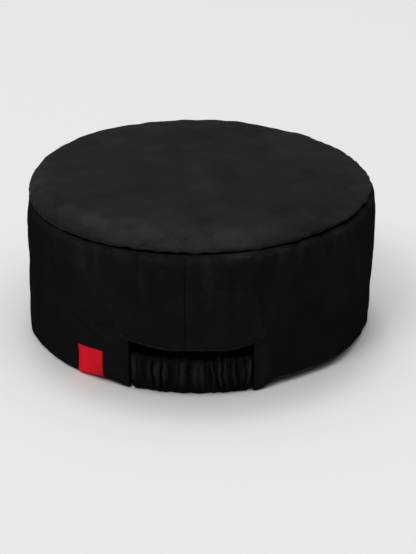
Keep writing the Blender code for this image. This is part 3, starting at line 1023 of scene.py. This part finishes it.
def threads(made, weave, place, pitch):
    """Height of the threads: slanting ribs over a finer weft, a plain grid, or ribs one way."""
    if weave == "twill":
        ribs = made.combine("MULTIPLY", made.bands(place, "DIAGONAL", pitch, 0.6), 0.8)
        weft = made.combine("MULTIPLY", made.bands(place, "X", pitch * 0.7, 0.4), 0.175)
        return made.combine("ADD", made.combine("ADD", weft, 0.25), ribs)
    if weave == "plain":
        return made.combine("MULTIPLY", *(made.bands(place, way, pitch, 0.5) for way in "XY"))
    return made.bands(place, "Y", pitch, 0.3)


def woven(name, colour, weave, pitch, relief, roughness=0.85, lift=1.0, **surface):
    """Woven cloth: its threads, fibre fuzz, uneven dye, a painted highlight on its raised threads, and paler
    colour where the piece carries painted wear and painted light.

    The lift is how much paler its raised threads and its painted wear and light come out.
    """
    made = Finish(name, roughness, **surface)
    place = made.add("ShaderNodeUVMap", uv_map="cloth").outputs["UV"]
    solid = made.solid()
    raised = threads(made, weave, place, pitch)
    clouds = made.noise(solid, 24.0, 3.0)
    specks = made.noise(solid, 1.6, 3.0)
    drawn_out = made.add("ShaderNodeMapping", {"Vector": place, "Scale": (0.07, 1.0, 1.0)}).outputs["Vector"]
    slubs = made.noise(drawn_out, 0.9, 2.0)
    dyed = made.tones(made.spread(clouds, 0.0, 1.0), colour, 0.75, 1.25)
    dyed = made.mix(made.spread(slubs, 0.0, 0.4), dyed, shade(colour, 1.6))
    # Raised threads are painted paler: a painted highlight on their tops.
    on_threads = made.combine("MULTIPLY", made.spread(raised, 0.0, 0.35), made.spread(specks, 0.3, 1.0))
    dyed = made.mix(on_threads, dyed, shade(colour, 1.0 + 0.7 * lift))
    # Where the piece carries painted wear and painted light, it is made paler.
    wear_and_light = made.add("ShaderNodeAttribute", attribute_name="wear_and_light").outputs["Fac"]
    lightened = made.mix(made.combine("MULTIPLY", wear_and_light, 0.7), dyed, shade(colour, 1.0 + 2.2 * lift))
    uneven = made.spread(clouds, roughness - 0.06, roughness + 0.06)
    fuzz = made.bump(made.noise(solid, 0.35, 4.0), 0.05, 0.5)
    return made.finished(lightened, uneven, made.bump(raised, relief, 0.7, fuzz))


def towelling(name, colour):
    """Short looped pile."""
    made = Finish(name, 0.95, sheen=0.3)
    solid = made.solid()
    loops = made.add("ShaderNodeTexVoronoi", {"Vector": solid, "Scale": 1 / (0.9 * MM)}).outputs["Distance"]
    clouds = made.noise(solid, 9.0)
    pile = made.bump(made.combine("SUBTRACT", 1.0, loops), 0.35, 0.9, made.bump(clouds, 0.4, 0.5))
    # The tops of the loops are painted paler and the gaps between them darker: painted highlight and painted
    # shade.
    return made.finished(made.tones(loops, colour, 1.5, 0.6), made.spread(clouds, 0.88, 1.0), pile)


def felted(name, colour):
    """Bonded fibre, with no weave."""
    made = Finish(name, 0.95)
    fibres = made.noise(made.solid(), 0.8, 6.0)
    tones = made.tones(fibres, colour, 0.7, 1.3)
    return made.finished(tones, made.spread(fibres, 0.9, 1.0), made.bump(fibres, 0.12, 0.6))


def spun(name, colour, roughness=0.5):
    """Sewing thread: fine plies with a slight gloss."""
    made = Finish(name, roughness, specular=0.15)
    solid = made.solid()
    specks = made.noise(solid, 0.5)
    uneven = made.spread(specks, roughness - 0.08, roughness + 0.08)
    plies = made.bump(made.bands(solid, "DIAGONAL", 0.22, 1.5), 0.05, 0.6)
    return made.finished(made.tones(specks, colour, 0.7, 1.3), uneven, plies)


# Colours of the cloths and threads.
BLACK = (0.0068, 0.0068, 0.0070)
# The crown's black is the wall's cloth made a little paler: painted light on the crown, which faces up into
# the light.
LIT_BLACK = (0.0072, 0.0072, 0.0074)
# The casing's black is the wall's cloth made a little darker: painted shade in among the gathers.
SHADED = (0.0056, 0.0056, 0.0058)
CHARCOAL = (0.014, 0.014, 0.015)
JET = (0.003, 0.003, 0.003)
GREY = (0.03, 0.03, 0.032)
RED = (0.71, 0.008, 0.022)
DEEP_RED = (0.50, 0.006, 0.015)
OFF_WHITE = (0.72, 0.71, 0.68)
THREAD_WHITE = (0.7, 0.7, 0.68)

SHELL = {"weave": "twill", "pitch": 0.55, "relief": 0.09, "roughness": 0.95}
TWILL = woven("black_twill", BLACK, **SHELL, specular=0.0)
# The casing's twill is a darker copy of the black twill: painted shade, with its painted highlight on the
# crests.
CASING_TWILL = woven("casing_twill", SHADED, **SHELL, lift=1.4, specular=0.0)
# The crown's twill is a paler copy of the black twill: painted light, and its painted light and highlight
# come out paler still.
CROWN_TWILL = woven("crown_twill", LIT_BLACK, **SHELL, lift=1.6, sheen=0.02, specular=0.02)
LINING = woven("lining_weave", CHARCOAL, "plain", 0.35, 0.05, 0.7, sheen=0.1)
TAPE_WEAVE = woven("binding_weave", CHARCOAL, "rib", 0.5, 0.08, sheen=0.1)
RED_LABEL = woven("label_weave", RED, "rib", 0.32, 0.05, 0.7, lift=0.15, specular=0.05)
SATIN = woven("care_label_satin", OFF_WHITE, "rib", 0.25, 0.02, 0.4, lift=0.1)
ELASTIC = woven("elastic_braid", GREY, "rib", 1.1, 0.2, 0.7)
TERRY = towelling("sweatband_terry", CHARCOAL)
INTERFACING = felted("interfacing_felt", CHARCOAL)
THREAD = spun("black_thread", JET, 0.8)
RED_THREAD = spun("red_thread", DEEP_RED)
WHITE_THREAD = spun("white_thread", THREAD_WHITE)


# ---- Stage, light and camera

# Metres, degrees, the lens in millimetres and the lights in watts.
CAMERA_AZIMUTH = 2.9
CAMERA_ELEVATION = 23.8
CAMERA_DISTANCE = 0.783
CAMERA_TARGET_HEIGHT = 0.0441
CAMERA_AIM = (0.0048, 0.0220)
CAMERA_LENS = 88.5

# How high the sky starts to brighten, its strength below that and overhead, and the two lights.
SKY_EDGE = 0.5
SKY_LOW = 0.03
SKY_HIGH = 1.78
KEY_PLACE = (-1.5, -1.9, 3.0)
KEY_SIZE = 1.6
KEY_POWER = 34
BACK_PLACE = (-0.15, 1.1, 3.6)
BACK_SIZE = 1.1
BACK_POWER = 28

# Where the lights point, the backdrop's brightness, and the floor's reach and colours.
LIGHT_AIM = (0, 0, 0.04)
BACKDROP = 0.8
FLOOR_HALF = 6.0
FLOOR_TONES = ((0.725, 0.725, 0.71, 1.0), (0.74, 0.74, 0.725, 1.0))


def face_towards(obj, aim):
    obj.rotation_euler = (Vector(aim) - obj.location).to_track_quat("-Z", "Y").to_euler()


def make_camera():
    """The camera looks at the back of the cap from a little above."""
    turn, rise = math.radians(CAMERA_AZIMUTH), math.radians(CAMERA_ELEVATION)
    right = Vector((math.cos(turn), math.sin(turn), 0))
    back = Vector((math.sin(turn) * math.cos(rise), -math.cos(turn) * math.cos(rise), math.sin(rise)))
    data = bpy.data.cameras.new("camera")
    data.lens = CAMERA_LENS
    camera = link(bpy.data.objects.new("camera", data))
    camera.location = Vector((0, 0, CAMERA_TARGET_HEIGHT)) + back * CAMERA_DISTANCE
    face_towards(camera, right * CAMERA_AIM[0] + Vector((0, 0, CAMERA_AIM[1])))
    bpy.context.scene.camera = camera


def area_light(name, location, size, power):
    data = bpy.data.lights.new(name, "AREA")
    data.shape = "DISK"
    data.size = size
    data.energy = power
    light = link(bpy.data.objects.new(name, data))
    light.location = location
    face_towards(light, LIGHT_AIM)


def make_floor():
    """A wide pale floor."""
    mesh = bpy.data.meshes.new("floor")
    corners = [(x * FLOOR_HALF, y * FLOOR_HALF, 0) for x, y in ((-1, -1), (1, -1), (1, 1), (-1, 1))]
    mesh.from_pydata(corners, [], [(0, 1, 2, 3)])
    made = Finish("floor_paper", 0.9, specular=0.2)
    grain = made.noise(made.solid(), 2.0, 3.0)
    mesh.materials.append(made.finished(made.mix(grain, *FLOOR_TONES)))
    link(bpy.data.objects.new("floor", mesh))


def make_world():
    """Soft light that comes mostly from overhead, in front of a pale backdrop."""
    world = bpy.data.worlds.new("studio")
    world.use_nodes = True
    tree = world.node_tree
    place = add_node(tree, "ShaderNodeTexCoord").outputs["Generated"]
    up = add_node(tree, "ShaderNodeSeparateXYZ", {"Vector": place}).outputs["Z"]
    sky = {"Value": up, "From Min": SKY_EDGE, "To Min": SKY_LOW, "To Max": SKY_HIGH}
    light = add_node(tree, "ShaderNodeMapRange", sky).outputs["Result"]
    seen = add_node(tree, "ShaderNodeLightPath").outputs["Is Camera Ray"]
    choice = add_node(tree, "ShaderNodeMix", {"Factor": seen, "A": light, "B": BACKDROP})
    background = tree.nodes["Background"]
    background.inputs["Color"].default_value = (1.0, 1.0, 1.0, 1.0)
    tree.links.new(choice.outputs["Result"], background.inputs["Strength"])
    bpy.context.scene.world = world


# ---- Build


def build():
    crown()
    crown_layer("crown_interfacing_felt", "crown_interfacing", INTERFACING, INTERFACING_DEPTH)
    crown_layer("crown_lining_cloth", "crown_lining", LINING, CROWN_LINING_DEPTH)
    side_band()
    wall_layer("band_interfacing_felt", "band_interfacing", INTERFACING, INTERFACING_DEPTH, *FELT_REACH)
    wall_layer("band_lining_cloth", "band_lining", LINING, LINING_DEPTH, *LINING_REACH)
    crown_seam_binding()
    back_seam_tape()
    back_opening_facing()
    elastic_casing()
    elastic_strip()
    sweatband()
    side_label()
    care_label()
    sew_opening()
    sew_rings()
    sew_back_seam()
    sew_labels()


build()
make_floor()
make_world()
area_light("key", KEY_PLACE, KEY_SIZE, KEY_POWER)
area_light("back", BACK_PLACE, BACK_SIZE, BACK_POWER)
make_camera()
bpy.context.scene.view_settings.view_transform = "Standard"
